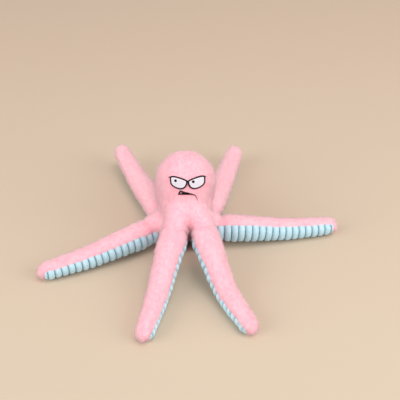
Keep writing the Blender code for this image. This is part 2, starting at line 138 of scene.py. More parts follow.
def store(mesh, name, values):
    # Keeps a number or a direction for each corner of a mesh.
    values = np.array(values, np.float32)
    kind, key = ("FLOAT_VECTOR", "vector") if values.ndim == 2 else ("FLOAT", "value")
    mesh.attributes.new(name, kind, "POINT")
    mesh.attributes[name].data.foreach_set(key, values.ravel())


def addNode(tree, kind, inputs=None, **settings):
    made = tree.nodes.new(kind)
    for key, value in settings.items():
        setattr(made, key, value)
    for key, value in (inputs or {}).items():
        if isinstance(value, bpy.types.NodeSocket):
            tree.links.new(value, made.inputs[key])
        else:
            made.inputs[key].default_value = value
    return made


def addMath(tree, operation, first, second=0.0, third=0.0):
    return addNode(tree, "ShaderNodeMath", {0: first, 1: second, 2: third}, operation=operation).outputs[0]


def addVector(tree, operation, first, second=(0, 0, 0)):
    return addNode(tree, "ShaderNodeVectorMath", {0: first, 1: second}, operation=operation).outputs[0]


def scaled(tree, vector, size):
    return addNode(tree, "ShaderNodeVectorMath", {0: vector, "Scale": size}, operation="SCALE").outputs[0]


# Camera, at the photograph's angle

camera = {"target": (0.0208, 0.0932, 0.0), "elevation": math.radians(37), "distance": 1.5, "lens": 90}


def addCamera():
    lens = bpy.data.cameras.new("camera")
    lens.lens = camera["lens"]
    lens.sensor_width = 36
    made = addObject("camera", lens)
    back = Vector((0, -math.cos(camera["elevation"]), math.sin(camera["elevation"])))
    made.location = Vector(camera["target"]) + back * camera["distance"]
    made.rotation_euler = back.to_track_quat("Z", "Y").to_euler()
    scene.camera = made


addCamera()


# Materials

def newMaterial(name, roughness, sheen=0.0, sheenTint=(1, 1, 1), specular=0.3):
    made = bpy.data.materials.new(name)
    made.use_nodes = True
    tree = made.node_tree
    shader = tree.nodes["Principled BSDF"]
    values = {"Roughness": roughness, "Specular IOR Level": specular, "Sheen Weight": sheen,
              "Sheen Roughness": 0.5, "Sheen Tint": (*sheenTint, 1)}
    for key, value in values.items():
        shader.inputs[key].default_value = value
    return made, tree, shader


def addRamp(tree, value, stops):
    ramp = addNode(tree, "ShaderNodeValToRGB", {"Fac": value})
    while len(ramp.color_ramp.elements) < len(stops):
        ramp.color_ramp.elements.new(0.5)
    for element, (place, colour) in zip(ramp.color_ramp.elements, stops):
        element.position = place
        element.color = (*colour, 1)
    return ramp.outputs["Color"]


def addMix(tree, blend, share, first, second):
    mix = addNode(tree, "ShaderNodeMix", {"Factor": share}, data_type="RGBA", blend_type=blend)
    for slot, value in ((6, first), (7, second)):
        if isinstance(value, bpy.types.NodeSocket):
            tree.links.new(value, mix.inputs[slot])
        else:
            mix.inputs[slot].default_value = (*value, 1)
    return mix.outputs[2]


def paint(tree, shader, colour):
    tree.links.new(colour, shader.inputs["Base Color"])


def objectPlace(tree):
    return addNode(tree, "ShaderNodeTexCoord").outputs["Object"]


def addRange(tree, value, low, high, first, last):
    return addNode(tree, "ShaderNodeMapRange", {0: value, 1: low, 2: high, 3: first, 4: last}).outputs[0]


def addBump(tree, shader, strength, distance, height):
    bump = addNode(tree, "ShaderNodeBump", {"Strength": strength, "Distance": distance, "Height": height})
    tree.links.new(bump.outputs[0], shader.inputs["Normal"])


def addNoise(tree, vector, scale, detail=2.0, roughness=0.5):
    return addNode(tree, "ShaderNodeTexNoise", {"Vector": vector, "Scale": scale, "Detail": detail,
                                                "Roughness": roughness}).outputs["Fac"]


pinks = {
    # From root to tip of a tuft: the deeper roots are painted shade in the depth of the pile.
    "root": (1.0, 0.46, 0.53),
    "middle": (1.0, 0.61, 0.675),
    "tip": (1.0, 0.70, 0.745),
    "backing": (1.0, 0.53, 0.60),
    "deepTone": (0.98, 0.76, 0.82),
    "paleTone": (1.0, 1.0, 1.0),
}


def pinkPileMaterial():
    # Deeper at the roots as painted shade for the depth of the pile, which casts no shadows; paler at the
    # tips; each tuft in its own tone.
    made, tree, shader = newMaterial("pinkPile", 0.9, sheen=0.6, sheenTint=(1.0, 0.72, 0.77), specular=0.1)
    place = addNode(tree, "ShaderNodeUVMap", uv_map="OFBake").outputs[0]
    parts = addNode(tree, "ShaderNodeSeparateXYZ", {0: place}).outputs
    lengthwise = addRamp(tree, parts[1], [(0.0, pinks["root"]), (0.45, pinks["middle"]), (1.0, pinks["tip"])])
    tone = addRamp(tree, parts[0], [(0.05, pinks["deepTone"]), (0.7, pinks["paleTone"])])
    paint(tree, shader, addMix(tree, "MULTIPLY", 1.0, lengthwise, tone))
    return made


def pinkBackingMaterial():
    # The knitted backing that the pile grows from.
    made, tree, shader = newMaterial("pinkBacking", 0.95, sheen=0.2, sheenTint=(1.0, 0.8, 0.86), specular=0.1)
    place = objectPlace(tree)
    knit = addNode(tree, "ShaderNodeTexVoronoi", {"Vector": place, "Scale": 900.0}).outputs["Distance"]
    mottle = addNoise(tree, place, 60.0)
    colour = addRamp(tree, mottle, [(0.3, pinks["root"]), (0.75, pinks["backing"])])
    shade = addRamp(tree, knit, [(0.0, (1, 1, 1)), (0.8, (0.7, 0.6, 0.65))])
    paint(tree, shader, addMix(tree, "MULTIPLY", 0.35, colour, shade))
    addBump(tree, shader, 0.6, 0.0004, knit)
    return made


blues = {
    # Seam to crest: deep is painted shade in the seams, pale a painted highlight on the crests, speck the
    # flecks.
    "deep": (0.13, 0.31, 0.38),
    "middle": (0.39, 0.67, 0.79),
    "pale": (0.54, 0.78, 0.90),
    "speck": (0.74, 0.89, 0.97),
}


def ribbedBlueMaterial():
    # Short velvety pile in wide ribs with pale flecks; the crests are painted pale as a highlight and the
    # seams between painted deep as shade.
    made, tree, shader = newMaterial("ribbedBlue", 0.85, sheen=0.35, sheenTint=(0.85, 0.95, 1.0),
                                     specular=0.2)
    place = objectPlace(tree)
    crest = addNode(tree, "ShaderNodeAttribute", attribute_name="crest").outputs["Fac"]
    mottle = addNoise(tree, place, 220.0, 4.0, 0.6)
    fibre = addNoise(tree, place, 1500.0, 3.0, 0.65)
    # Painted shade in the seams and a painted highlight on the crests, following each rib's rise.
    base = addRamp(tree, crest, [(0.0, blues["deep"]), (0.62, blues["middle"]), (1.0, blues["pale"])])
    mottled = addMix(tree, "MIX", addRange(tree, mottle, 0.45, 0.75, 0.0, 0.55), base, blues["speck"])
    shade = addRamp(tree, fibre, [(0.3, (0.78, 0.84, 0.86)), (0.62, (1, 1, 1))])
    paint(tree, shader, addMix(tree, "MULTIPLY", 0.5, mottled, shade))
    addBump(tree, shader, 0.8, 0.0006, addMath(tree, "MULTIPLY_ADD", fibre, 0.6, mottle))
    return made


def threadMaterial(name, colour, shade, scale, roughness=0.55):
    # Satin stitching: fine parallel threads.
    made, tree, shader = newMaterial(name, roughness, specular=0.15)
    place = objectPlace(tree)
    waves = {"Vector": place, "Scale": scale, "Distortion": 1.5, "Detail": 2.0, "Detail Scale": 3.0}
    threads = addNode(tree, "ShaderNodeTexWave", waves, wave_type="BANDS", bands_direction="X").outputs["Fac"]
    paint(tree, shader, addMix(tree, "MIX", threads, shade, colour))
    addBump(tree, shader, 0.5, 0.0003, threads)
    return made


def fibreMaterial(name, colour, shade, scale):
    made, tree, shader = newMaterial(name, 1.0, sheen=0.2, specular=0.1)
    place = objectPlace(tree)
    tufts = addNoise(tree, place, scale, 5.0, 0.7)
    paint(tree, shader, addRamp(tree, tufts, [(0.3, shade), (0.7, colour)]))
    addBump(tree, shader, 0.7, 0.001, tufts)
    return made


pinkPile = pinkPileMaterial()
pinkBacking = pinkBackingMaterial()
ribbedBlue = ribbedBlueMaterial()
eyeThread = threadMaterial("eyeThread", (0.78, 0.75, 0.82), (0.69, 0.66, 0.73), 420.0)
maroonThread = threadMaterial("maroonThread", (0.016, 0.003, 0.007), (0.006, 0.001, 0.003), 500.0, 0.8)
seamCloth = fibreMaterial("seamCloth", (0.93, 0.54, 0.64), (0.86, 0.42, 0.52), 900.0)
squeakerPlastic = fibreMaterial("squeakerPlastic", (0.86, 0.85, 0.80), (0.80, 0.79, 0.74), 40.0)
print("materials made")


# Body: its outline, its lean, its shoulders, the hollow between the front legs, the creases of its
# face and the way that its pile lies. Pairs named for a fade are a start and a length.

body = {
    "baseRadius": 0.033, "hubRadius": 0.038, "hubHeight": 0.022, "neckRadius": 0.038, "neckHeight": 0.048,
    "headRadius": 0.0432, "middleHeight": 0.087, "topHeight": 0.1315,
    "leanAngle": math.radians(28), "leanStart": 0.022, "leanEnd": 0.074,
    "bottom": 0.0019, "pileDepth": 0.003, "around": 96, "along": 90, "outlineSteps": (80, 60),
    "yokeBalls": 6, "yokeGrowth": 1.2, "yokeFaces": (32, 20),
    "voxel": 0.0021, "smoothing": 26, "lumps": 0.0010, "lumpScale": 38, "faceRise": 0.0021,
    "recess": (Vector((0.006, -0.052, 0.004)), Vector((0.0100, 0.046, 0.0385))), "recessSoft": 0.01,
    "faceMiddle": (0.0040, 0.085), "faceHalf": (0.0265, 0.0185), "faceFade": (0.9, 0.55),
    # Creases before the lean: points across and up, then depth and half width.
    "creases": [
        ([(-0.0235, 0.083), (-0.0205, 0.074), (-0.0215, 0.063)], 0.0014, 0.0022),
        ([(0.0335, 0.093), (0.0325, 0.078), (0.0290, 0.058)], 0.0016, 0.0024),
        ([(0.0003, 0.0505), (0.0035, 0.046), (0.0063, 0.040)], 0.0022, 0.0015),
    ],
    "chin": (0.0037, 0.066, 0.018, 0.013, 0.0020),
    "hemFade": (0.004, 0.004), "napRise": 0.04, "napBack": 0.02, "napSpread": 6,
    "crownNap": Vector((0.15, -0.8, 0.3)), "crownStart": 0.09, "rootNap": 2, "rootFade": (0.018, 0.022),
    "bareMargin": 0.003, "bareAheadFade": (0.010, 0.003), "bareBesideFade": (0.0135, 0.002),
}


def bodyRadius(height):
    if height < body["hubHeight"]:
        share = (body["hubHeight"] - height) / body["hubHeight"]
        return between(body["baseRadius"], body["hubRadius"], math.sqrt(max(0, 1 - share * share)))
    if height < body["neckHeight"]:
        share = (height - body["hubHeight"]) / (body["neckHeight"] - body["hubHeight"])
        return between(body["hubRadius"], body["neckRadius"], smooth(share))
    if height < body["middleHeight"]:
        share = (height - body["neckHeight"]) / (body["middleHeight"] - body["neckHeight"])
        return between(body["neckRadius"], body["headRadius"], smooth(share))
    share = (height - body["middleHeight"]) / (body["topHeight"] - body["middleHeight"])
    return body["headRadius"] * math.sqrt(max(0, 1 - share * share))


def tipped(point, height, way):
    share = smooth((height - body["leanStart"]) / (body["leanEnd"] - body["leanStart"]))
    pivot = Vector((0, 0, body["leanStart"]))
    return pivot + Matrix.Rotation(way * body["leanAngle"] * share, 3, "X") @ (point - pivot)


def leaned(point):
    return tipped(point, point.z, -1)


def bodyOutline():
    # From the middle of the bottom to the top: radius and height.
    bottom, middle, top = body["bottom"], body["middleHeight"], body["topHeight"]
    lower, upper = body["outlineSteps"]
    heights = list(np.linspace(bottom, middle, lower)[1:])
    heights += [between(middle, top, math.sin(a)) for a in np.linspace(0, math.pi / 2, upper)[1:]]
    return [(0, bottom), (body["baseRadius"], bottom)] + [(bodyRadius(h), h) for h in heights]


def distanceToLine(x, z, line):
    best = 1.0
    for (ax, az), (bx, bz) in zip(line, line[1:]):
        dx, dz = bx - ax, bz - az
        share = min(1, max(0, ((x - ax) * dx + (z - az) * dz) / (dx * dx + dz * dz)))
        best = min(best, math.hypot(x - ax - dx * share, z - az - dz * share))
    return best


def faceLift(x, z):
    # 1 where the face is sewn and the pile pressed flat, 0 away from it.
    across = (x - body["faceMiddle"][0]) / body["faceHalf"][0]
    upward = (z - body["faceMiddle"][1]) / body["faceHalf"][1]
    return 1 - fade(math.hypot(across, upward), *body["faceFade"])


def upright(point):
    # Where a point of the leaned body was before the lean.
    before = point
    for _ in range(8):
        before = tipped(point, before.z, 1)
    return before


def recessed(point):
    # The hollow under the chest between the front legs.
    centre, radii = body["recess"]
    away = Vector((point - centre)[i] / radii[i] for i in range(3))
    near = away.length - 1
    kept = 1 + 0.5 * (near + math.sqrt(near * near + body["recessSoft"]))
    return centre + Vector(away[i] * radii[i] * kept / away.length for i in range(3))


def grownBody():
    # The upright body and the shoulders that the legs come out of, grown into one skin.
    rings = evenly(bodyOutline(), body["along"])

    def place(turn, share):
        radius, height = rings[min(len(rings) - 1, max(0, round(share * body["along"])))]
        crown = max(0, height - body["middleHeight"]) / (body["topHeight"] - body["middleHeight"])
        drawn = max(0, radius - body["pileDepth"])
        return Vector((drawn * math.cos(turn), drawn * math.sin(turn), height - body["pileDepth"] * crown))

    start = shapedBall("start", body["around"], body["along"], place)
    shape = bmesh.new()
    shape.from_mesh(start.data)
    for one in legs.values():
        middle, _, _, up = legAxes(one, 0)
        shoulder, chest = upright(middle + up * one["perch"]), Vector((0, 0, one["yoke"]))
        for i in range(body["yokeBalls"]):
            growth = between(1, body["yokeGrowth"], i / (body["yokeBalls"] - 1))
            bmesh.ops.create_uvsphere(shape, u_segments=body["yokeFaces"][0], v_segments=body["yokeFaces"][1],
                                      radius=one["shoulder"] * growth,
                                      matrix=Matrix.Translation(shoulder.lerp(chest, i / body["yokeBalls"])))
    grown = makeObject("grown", shape)
    bpy.data.objects.remove(start)
    skin = grown.modifiers.new("skin", "REMESH")
    skin.mode, skin.voxel_size = "VOXEL", body["voxel"]
    rounder = grown.modifiers.new("round", "SMOOTH")
    rounder.factor, rounder.iterations = 0.5, body["smoothing"]
    finer = grown.modifiers.new("fine", "SUBSURF")
    finer.levels = finer.render_levels = 1
    mesh = bpy.data.meshes.new_from_object(grown.evaluated_get(bpy.context.evaluated_depsgraph_get()))
    bpy.data.objects.remove(grown)
    return mesh


def bodyDetail(co):
    # How far the cloth stands out of or sinks into the grown skin, before the lean.
    out = body["lumps"] * noise.noise(co * body["lumpScale"])
    if co.y > 0:
        return out
    for line, depth, wide in body["creases"]:
        gap = distanceToLine(co.x, co.z, line) / wide
        out -= depth * math.exp(-gap * gap)
    chinX, chinZ, chinWide, chinTall, chinOut = body["chin"]
    out += chinOut * math.exp(-((co.x - chinX) / chinWide) ** 2 - ((co.z - chinZ) / chinTall) ** 2)
    return between(out, body["faceRise"], faceLift(co.x, co.z))


# Legs, left and right as the viewer has them; degrees from +X, seen from above. The wrap is how
# far the plush reaches below the middle, as a share of the radius. The shoulder is the radius of the
# body's ball at the root, perched above the leg's middle, and the yoke the height of the chest that
# it grows from. Inward is the side of a front leg that faces the other.

leg = {
    "length": 0.174, "settle": 0.110, "rootDistance": 0.045, "rootRadius": 0.017, "shoulderDistance": 0.026,
    "shoulderRadius": 0.0195, "tipRadius": 0.013, "tipRounding": 0.016, "knee": 0.088, "kneeBlend": 0.025,
    "flatDepth": 0.0005, "pileDepth": 0.0030, "around": 56, "along": 130, "spanSteps": (12, 60, 16),
    "lumps": 0.05, "lumpScale": 45, "lumpTurn": 1.2,
    "collar": 0.10, "collarDistance": 0.012, "collarLength": 0.008,
    "swell": 0.18, "swellDistance": 0.020, "swellLength": 0.015,
    # Where the plush gives way to the ribbed cloth.
    "hiddenDepth": 0.0050, "hiddenMost": 0.6, "seamWidth": 0.25, "seamOver": 0.02, "tipBack": 0.012,
    "fadeLength": 0.006,
    # The way that the pile lies, and where it ends.
    "napAside": 0.2, "napDown": 0.35, "napSink": -0.1, "tipPile": 0.014, "pileOver": 0.16, "pileFade": 0.14,
    "ribPitch": 0.0095, "ribDepth": 0.0034, "ribPower": 2.6, "ribSpan": (-1.5, 17.75), "ribSteps": 12,
    "ribAround": 44, "ribTaper": 0.55, "ribPuff": 0.0004, "puffs": 40, "puffShift": 4, "ribSway": 0.05,
    "ribSwayScale": 90, "pinch": 0.0026, "clothThickness": 0.0046, "clothGap": 0.0006, "leastRadius": 0.001,
    "wrapOver": 0.1, "wrapFade": 0.15, "outerShare": 0.68,
}
frontLeg = {"height": 0.046, "raise": 0.0, "wrap": 0.0, "shoulder": 0.0160, "pileStart": 0.001,
            "yoke": 0.062, "perch": 0.0}
sideLeg = {"height": 0.023, "raise": 0.0, "wrap": 0.0, "pileStart": -0.012, "yoke": 0.050, "inward": 0}
rearLeg = {"height": 0.021, "roll": 0, "wrap": 0.46, "shoulder": 0.0160, "pileStart": 0.001, "yoke": 0.032,
           "perch": 0.0, "inward": 0}
legs = {
    "front_left": {**frontLeg, "root": 253, "heading": (257, 257), "roll": 22, "inward": -1, "seed": 11},
    "front_right": {**frontLeg, "root": 304, "heading": (284, 300), "roll": -24, "inward": 1, "seed": 12},
    "right": {**sideLeg, "root": 356, "heading": (1, 14), "roll": -58, "shoulder": 0.0140, "perch": 0.004,
              "seed": 13},
    "rear_right": {**rearLeg, "root": 47, "heading": (73, 76), "raise": 0.008, "seed": 14},
    "rear_left": {**rearLeg, "root": 135, "heading": (117, 112), "raise": 0.018, "seed": 15},
    "left": {**sideLeg, "root": 191, "heading": (212, 202), "roll": 40, "shoulder": 0.0145, "perch": 0.005,
             "seed": 16},
}


legStraight = leg["length"] - leg["tipRounding"]


def legRadius(distance, deep=0.0):
    # The radius of the leg itself, or of what lies at a depth below its surface.
    if distance < 0:
        return math.sqrt(max(0, (leg["rootRadius"] - deep) ** 2 - distance ** 2))
    if distance < leg["shoulderDistance"]:
        share = smooth(distance / leg["shoulderDistance"])
        return between(leg["rootRadius"], leg["shoulderRadius"], share) - deep
    if distance < legStraight:
        share = (distance - leg["shoulderDistance"]) / (legStraight - leg["shoulderDistance"])
        return between(leg["shoulderRadius"], leg["tipRadius"], share) - deep
    share = min(1, (distance - legStraight) / (leg["tipRounding"] - deep))
    return (leg["tipRadius"] - deep) * math.sqrt(max(0, 1 - share * share))


def lowestShare(roll):
    corners = [math.pi * i / 4 + math.radians(roll) for i in range(8)]
    return max(-math.sin(corner) for corner in corners)


def restPoint(one, distance):
    # The middle of a leg that lies on the table, at a distance from its root.
    start, end = (math.radians(a) for a in one["heading"])
    turn = (end - start) * distance / leg["length"] / 2
    chord = distance if abs(turn) < 1e-6 else distance * math.sin(turn) / turn
    root = math.radians(one["root"])
    share = max(0, distance / leg["length"])
    thick = legRadius(min(max(distance, leg["shoulderDistance"]), legStraight))
    lying = thick * lowestShare(one["roll"]) - leg["flatDepth"]
    height = between(one["height"], lying, smooth(distance / leg["settle"]))
    height += one["raise"] * share * share
    return Vector((leg["rootDistance"] * math.cos(root) + chord * math.cos(start + turn),
                   leg["rootDistance"] * math.sin(root) + chord * math.sin(start + turn), height))


def swell(one, distance, angle):
    # A front leg is fuller near its root, on the side that faces the other front leg.
    gap = (distance - leg["swellDistance"]) / leg["swellLength"]
    return leg["swell"] * math.exp(-gap * gap) * max(0, math.cos(angle) * one["inward"]) ** 2


def legAxes(one, distance):
    # The middle, the way ahead, and the rolled side and up directions.
    step = 0.001
    middle = restPoint(one, distance)
    ahead = (restPoint(one, distance + step) - restPoint(one, distance - step)).normalized()
    side = ahead.cross(Vector((0, 0, 1))).normalized()
    up = side.cross(ahead)
    roll = -math.radians(one["roll"])
    rolledSide = side * math.cos(roll) + up * math.sin(roll)
    return middle, ahead, rolledSide, up * math.cos(roll) - side * math.sin(roll)


def pressed(point):
    # The table flattens what lies on it.
    soft, reach = 0.0012, 0.004
    if point.z < reach:
        point.z = 0.5 * (point.z + math.sqrt(point.z * point.z + soft * soft))
    return point


class LegTrack:
    # The axes along a leg, worked out once.
    def __init__(self, one, distances):
        self.distances = distances
        self.axes = [legAxes(one, d) for d in distances]
        self.places = np.array([middle for middle, *_ in self.axes])

    def at(self, share):
        place = min(len(self.axes) - 1, max(0, round(share * (len(self.axes) - 1))))
        return (self.distances[place], *self.axes[place])

    def nearest(self, vertex):
        return int(np.argmin(((self.places - np.array(vertex.co)) ** 2).sum(1)))


def legPlush(name, one):
    # The stuffed leg: its upper side carries the pile, its lower side lies behind the ribbed cloth.
    first = -leg["rootRadius"] + leg["pileDepth"]
    rootSteps, straightSteps, tipSteps = leg["spanSteps"]
    tip = (leg["tipRounding"] - leg["pileDepth"]) * np.sin(np.linspace(0, math.pi / 2, tipSteps))[1:]
    spans = np.concatenate([first * np.cos(np.linspace(0, math.pi / 2, rootSteps)),
                            np.linspace(0, legStraight, straightSteps)[1:], legStraight + tip])
    outline = evenly([(d, legRadius(d, leg["pileDepth"])) for d in spans], leg["along"])
    track = LegTrack(one, outline[:, 0])

    def place(turn, share):
        distance, middle, _, side, up = track.at(share)
        radius = outline[min(len(outline) - 1, max(0, round(share * leg["along"]))), 1]
        lower = smooth((-math.sin(turn) + leg["seamOver"] - one["wrap"]) / leg["seamWidth"])
        lower *= 1 - smooth((distance - leg["length"] + leg["tipBack"]) / leg["fadeLength"])
        radius -= min(radius * leg["hiddenMost"], (leg["hiddenDepth"] - leg["pileDepth"]) * lower)
        lumps = noise.noise(Vector((distance * leg["lumpScale"], math.cos(turn) * leg["lumpTurn"],
                                    math.sin(turn) * leg["lumpTurn"] + one["seed"])))
        collar = math.exp(-((distance - leg["collarDistance"]) / leg["collarLength"]) ** 2)
        radius *= 1 + leg["lumps"] * lumps + leg["collar"] * collar
        radius *= 1 + swell(one, distance, turn)
        return pressed(middle + (side * math.cos(turn) + up * math.sin(turn)) * radius)

    made = shapedBall(name, leg["around"], leg["along"], place, pinkBacking)
    storeLegPile(made.data, one, track)
    return made


def storeLegPile(mesh, one, track):
    # The way that the pile lies, and how long it is, at each corner of the backing.
    nap, trim = [], []
    for vertex in mesh.vertices:
        nearest = track.nearest(vertex)
        distance, (middle, ahead, side, up) = track.distances[nearest], track.axes[nearest]
        out = vertex.co - middle
        rise = out.dot(up) / max(out.length, 1e-6)
        away = out.dot(side) / max(out.length, 1e-6)
        aside = side * away * leg["napAside"] - up * leg["napDown"] * abs(away)
        nap.append(ahead + aside + Vector((0, 0, leg["napSink"])))
        tipShare = smooth((distance - leg["length"] + leg["tipPile"]) / leg["fadeLength"])
        long = max(smooth((rise + leg["pileOver"] + one["wrap"]) / leg["pileFade"]), tipShare)
        trim.append(long * fade(distance, one["pileStart"], leg["fadeLength"]))
    store(mesh, "nap", nap)
    store(mesh, "trim", trim)


def ribDome(off):
    # The rise of a rib, from 0 in its seams to 1 along its middle.
    return math.sqrt(max(0, 1 - abs(off) ** leg["ribPower"]))


def ribbedUnderside(name, one):
    # Puffy ribs across the leg's lower half, drawn in at the seams: a closed form like half a moon.
    pitch = leg["ribPitch"]
    first, last = (end * pitch for end in leg["ribSpan"])
    steps = round((last - first) / pitch * leg["ribSteps"])
    distances = np.linspace(first, last, steps + 1)
    track = LegTrack(one, distances)
    random = np.random.default_rng(one["seed"])
    puff = random.uniform(-leg["ribPuff"], leg["ribPuff"], leg["puffs"])

    def place(turn, share):
        distance, middle, _, side, up = track.at(share)
        spot = (turn + math.pi) / math.tau
        ending = smooth((distance - last + leg["fadeLength"]) / leg["fadeLength"])
        full = legRadius(distance) * (1 - ending * leg["ribTaper"])
        if spot < leg["outerShare"]:
            angle = math.pi * (1 + spot / leg["outerShare"])
            rib = distance / pitch
            off = 2 * (rib - math.floor(rib)) - 1
            dome = ribDome(off)
            deep = abs(math.sin(angle))
            radius = full + puff[math.floor(rib) + leg["puffShift"]] * dome
            radius -= leg["ribDepth"] * (1 - dome) + leg["pinch"] * (1 - deep) ** 3
            radius *= 1 + swell(one, distance, angle)
            if one["wrap"]:
                covered = smooth((deep - one["wrap"] + leg["wrapOver"]) / leg["wrapFade"])
                radius -= leg["clothThickness"] * (1 - covered)
            spotted = Vector((distance * leg["ribSwayScale"], angle, one["seed"]))
            angle += leg["ribSway"] * noise.noise(spotted)
        else:
            angle = math.pi * (2 - (spot - leg["outerShare"]) / (1 - leg["outerShare"]))
            radius = full - leg["clothThickness"] - leg["clothGap"]
        radius = max(radius, leg["leastRadius"])
        return pressed(middle + (side * math.cos(angle) + up * math.sin(angle)) * radius)

    made = shapedBall(name, leg["ribAround"], steps, place, ribbedBlue)
    # Each rib's rise, which the material turns into painted shade in the seams and a painted highlight on the
    # crests.
    crest = []
    for vertex in made.data.vertices:
        nearest = track.nearest(vertex)
        rib = distances[nearest] / pitch
        crest.append(ribDome(2 * (rib - math.floor(rib)) - 1))
    store(made.data, "crest", crest)
    return made


# Pile: tapered, leaning tufts set all over a backing

pile = {
    "length": 0.0064, "width": 0.0010, "spacing": 0.00060, "density": 5000000.0, "trimDensity": 6.0,
    "lean": math.radians(68), "leanRange": (0.62, 1.15), "lengthRange": (0.80, 1.10),
    "widthRange": (0.8, 1.2), "thinShare": 0.4, "leastTrim": 0.12,
    "swirl": 0.55, "swirlScale": 45.0, "ruffle": 0.45, "ruffleScale": 170.0, "stray": 0.30,
    "layShare": 0.45, "lockScale": 230.0, "lockRange": (0.36, 0.62), "lockRise": 0.46,
    "lockTop": 1.1, "tone": 0.3, "toneScale": 70.0, "mottle": 0.35, "lockTone": 0.35, "lowest": 0.0001,
    "faceGap": 0.0009, "faceReach": 0.007, "faceTrim": 0.45,
}


def makeTuft():
    # One tapered three-sided tuft along +Z, its map's second coordinate running to its tip.
    shape = bmesh.new()
    upwards = Matrix.Translation((0, 0, pile["length"] / 2)) @ Matrix.Rotation(-math.pi / 2, 4, "Z")
    bmesh.ops.create_cone(shape, segments=3, radius1=pile["width"] / 2, radius2=0, depth=pile["length"],
                          matrix=upwards)
    layer = shape.loops.layers.uv.new("OFBake")
    for face in shape.faces:
        for loop in face.loops:
            loop[layer].uv = (0.02 * face.calc_center_median().normalized().x,
                              min(0.995, max(0.005, loop.vert.co.z / pile["length"])))
    made = makeObject("tuft", shape)
    made.hide_render = True
    return made


tuft = makeTuft()


def pileTree(name, seed, faceHolder):
    tree = bpy.data.node_groups.new(name, "GeometryNodeTree")
    tree.interface.new_socket(name="Geometry", in_out="INPUT", socket_type="NodeSocketGeometry")
    tree.interface.new_socket(name="Geometry", in_out="OUTPUT", socket_type="NodeSocketGeometry")
    backing = tree.nodes.new("NodeGroupInput").outputs[0]

    def read(attribute, kind):
        made = addNode(tree, "GeometryNodeInputNamedAttribute", {"Name": attribute}, data_type=kind)
        return made.outputs["Attribute"]

    def draw(low, high, number):
        inputs = {2: low, 3: high, 8: number}
        return addNode(tree, "FunctionNodeRandomValue", inputs, data_type="FLOAT").outputs[1]

    trim = read("trim", "FLOAT")
    spread = addNode(tree, "GeometryNodeDistributePointsOnFaces",
                     {"Mesh": backing, "Distance Min": pile["spacing"], "Density Max": pile["density"],
                      "Density Factor": addMath(tree, "MULTIPLY", trim, pile["trimDensity"]), "Seed": seed},
                     distribute_method="POISSON")
    position = addNode(tree, "GeometryNodeInputPosition").outputs[0]
    normal = spread.outputs["Normal"]

    def cloud(scale, detail=1.0, output="Fac"):
        made = addNode(tree, "ShaderNodeTexNoise", {"Vector": position, "Scale": scale, "Detail": detail})
        return made.outputs[output]

    def wander(scale, size):
        colour = cloud(scale, output="Color")
        return scaled(tree, addVector(tree, "SUBTRACT", colour, (0.5, 0.5, 0.5)), 4 * size)

    swirl = wander(pile["swirlScale"], pile["swirl"])
    swirl = addVector(tree, "ADD", swirl, wander(pile["ruffleScale"], pile["ruffle"]))
    stray = addNode(tree, "FunctionNodeRandomValue", {0: (-1, -1, -1), 1: (1, 1, 1)},
                    data_type="FLOAT_VECTOR").outputs[0]
    stray = scaled(tree, stray, pile["stray"])
    nap = addVector(tree, "NORMALIZE", read("nap", "FLOAT_VECTOR"))
    along = addVector(tree, "ADD", addVector(tree, "ADD", nap, swirl), stray)
    rising = addNode(tree, "ShaderNodeVectorMath", {0: along, 1: normal}, operation="DOT_PRODUCT")
    flat = addVector(tree, "SUBTRACT", along, scaled(tree, normal, rising.outputs["Value"]))
    flat = addVector(tree, "NORMALIZE", flat)
    # The tuft stands between its backing's normal and the way that the pile lies.
    angle = addMath(tree, "MULTIPLY", draw(*pile["leanRange"], 3), pile["lean"])
    stands = addVector(tree, "ADD", scaled(tree, normal, addMath(tree, "COSINE", angle)),
                       scaled(tree, flat, addMath(tree, "SINE", angle)))
    turned = addNode(tree, "FunctionNodeAxesToRotation", {0: stands, 1: flat}, primary_axis="Z",
                     secondary_axis="X").outputs[0]
    locks = addRange(tree, cloud(pile["lockScale"]), *pile["lockRange"], 0.0, 1.0)
    lockLength = addMath(tree, "MULTIPLY_ADD", locks, pile["lockRise"], pile["lockTop"] - pile["lockRise"])
    long = addMath(tree, "MULTIPLY", draw(*pile["lengthRange"], 5), trim)
    long = addMath(tree, "MULTIPLY", long, lockLength)
    keep = addNode(tree, "FunctionNodeCompare", {0: trim, 1: pile["leastTrim"]}, data_type="FLOAT",
                   operation="GREATER_THAN").outputs[0]
    if faceHolder:
        sewn = addNode(tree, "GeometryNodeCollectionInfo", {"Collection": faceHolder},
                       transform_space="RELATIVE").outputs[0]
        sewn = addNode(tree, "GeometryNodeRealizeInstances", {"Geometry": sewn}).outputs[0]
        near = addNode(tree, "GeometryNodeProximity", {0: sewn}, target_element="FACES").outputs["Distance"]
        clipped = addRange(tree, near, pile["faceGap"], pile["faceReach"], pile["faceTrim"], 1.0)
        long = addMath(tree, "MULTIPLY", long, clipped)
        clear = addNode(tree, "FunctionNodeCompare", {0: near, 1: pile["faceGap"]}, data_type="FLOAT",
                        operation="GREATER_THAN").outputs[0]
        keep = addNode(tree, "FunctionNodeBooleanMath", {0: keep, 1: clear}, operation="AND").outputs[0]
    thick = addMath(tree, "MULTIPLY_ADD", long, pile["thinShare"], 1 - pile["thinShare"])
    wide = addMath(tree, "MULTIPLY", draw(*pile["widthRange"], 7), thick)
    size = addNode(tree, "ShaderNodeCombineXYZ", {0: wide, 1: wide, 2: long}).outputs[0]
    mottle = addMath(tree, "MULTIPLY", cloud(pile["toneScale"], 3.0), pile["mottle"])
    tone = addMath(tree, "MULTIPLY_ADD", draw(0.0, 1.0, 9), pile["tone"], mottle)
    tone = addMath(tree, "MULTIPLY_ADD", locks, pile["lockTone"], tone)

    def attach(geometry, attribute, kind, domain, value):
        return addNode(tree, "GeometryNodeStoreNamedAttribute",
                       {"Geometry": geometry, "Name": attribute, "Value": value},
                       data_type=kind, domain=domain).outputs[0]

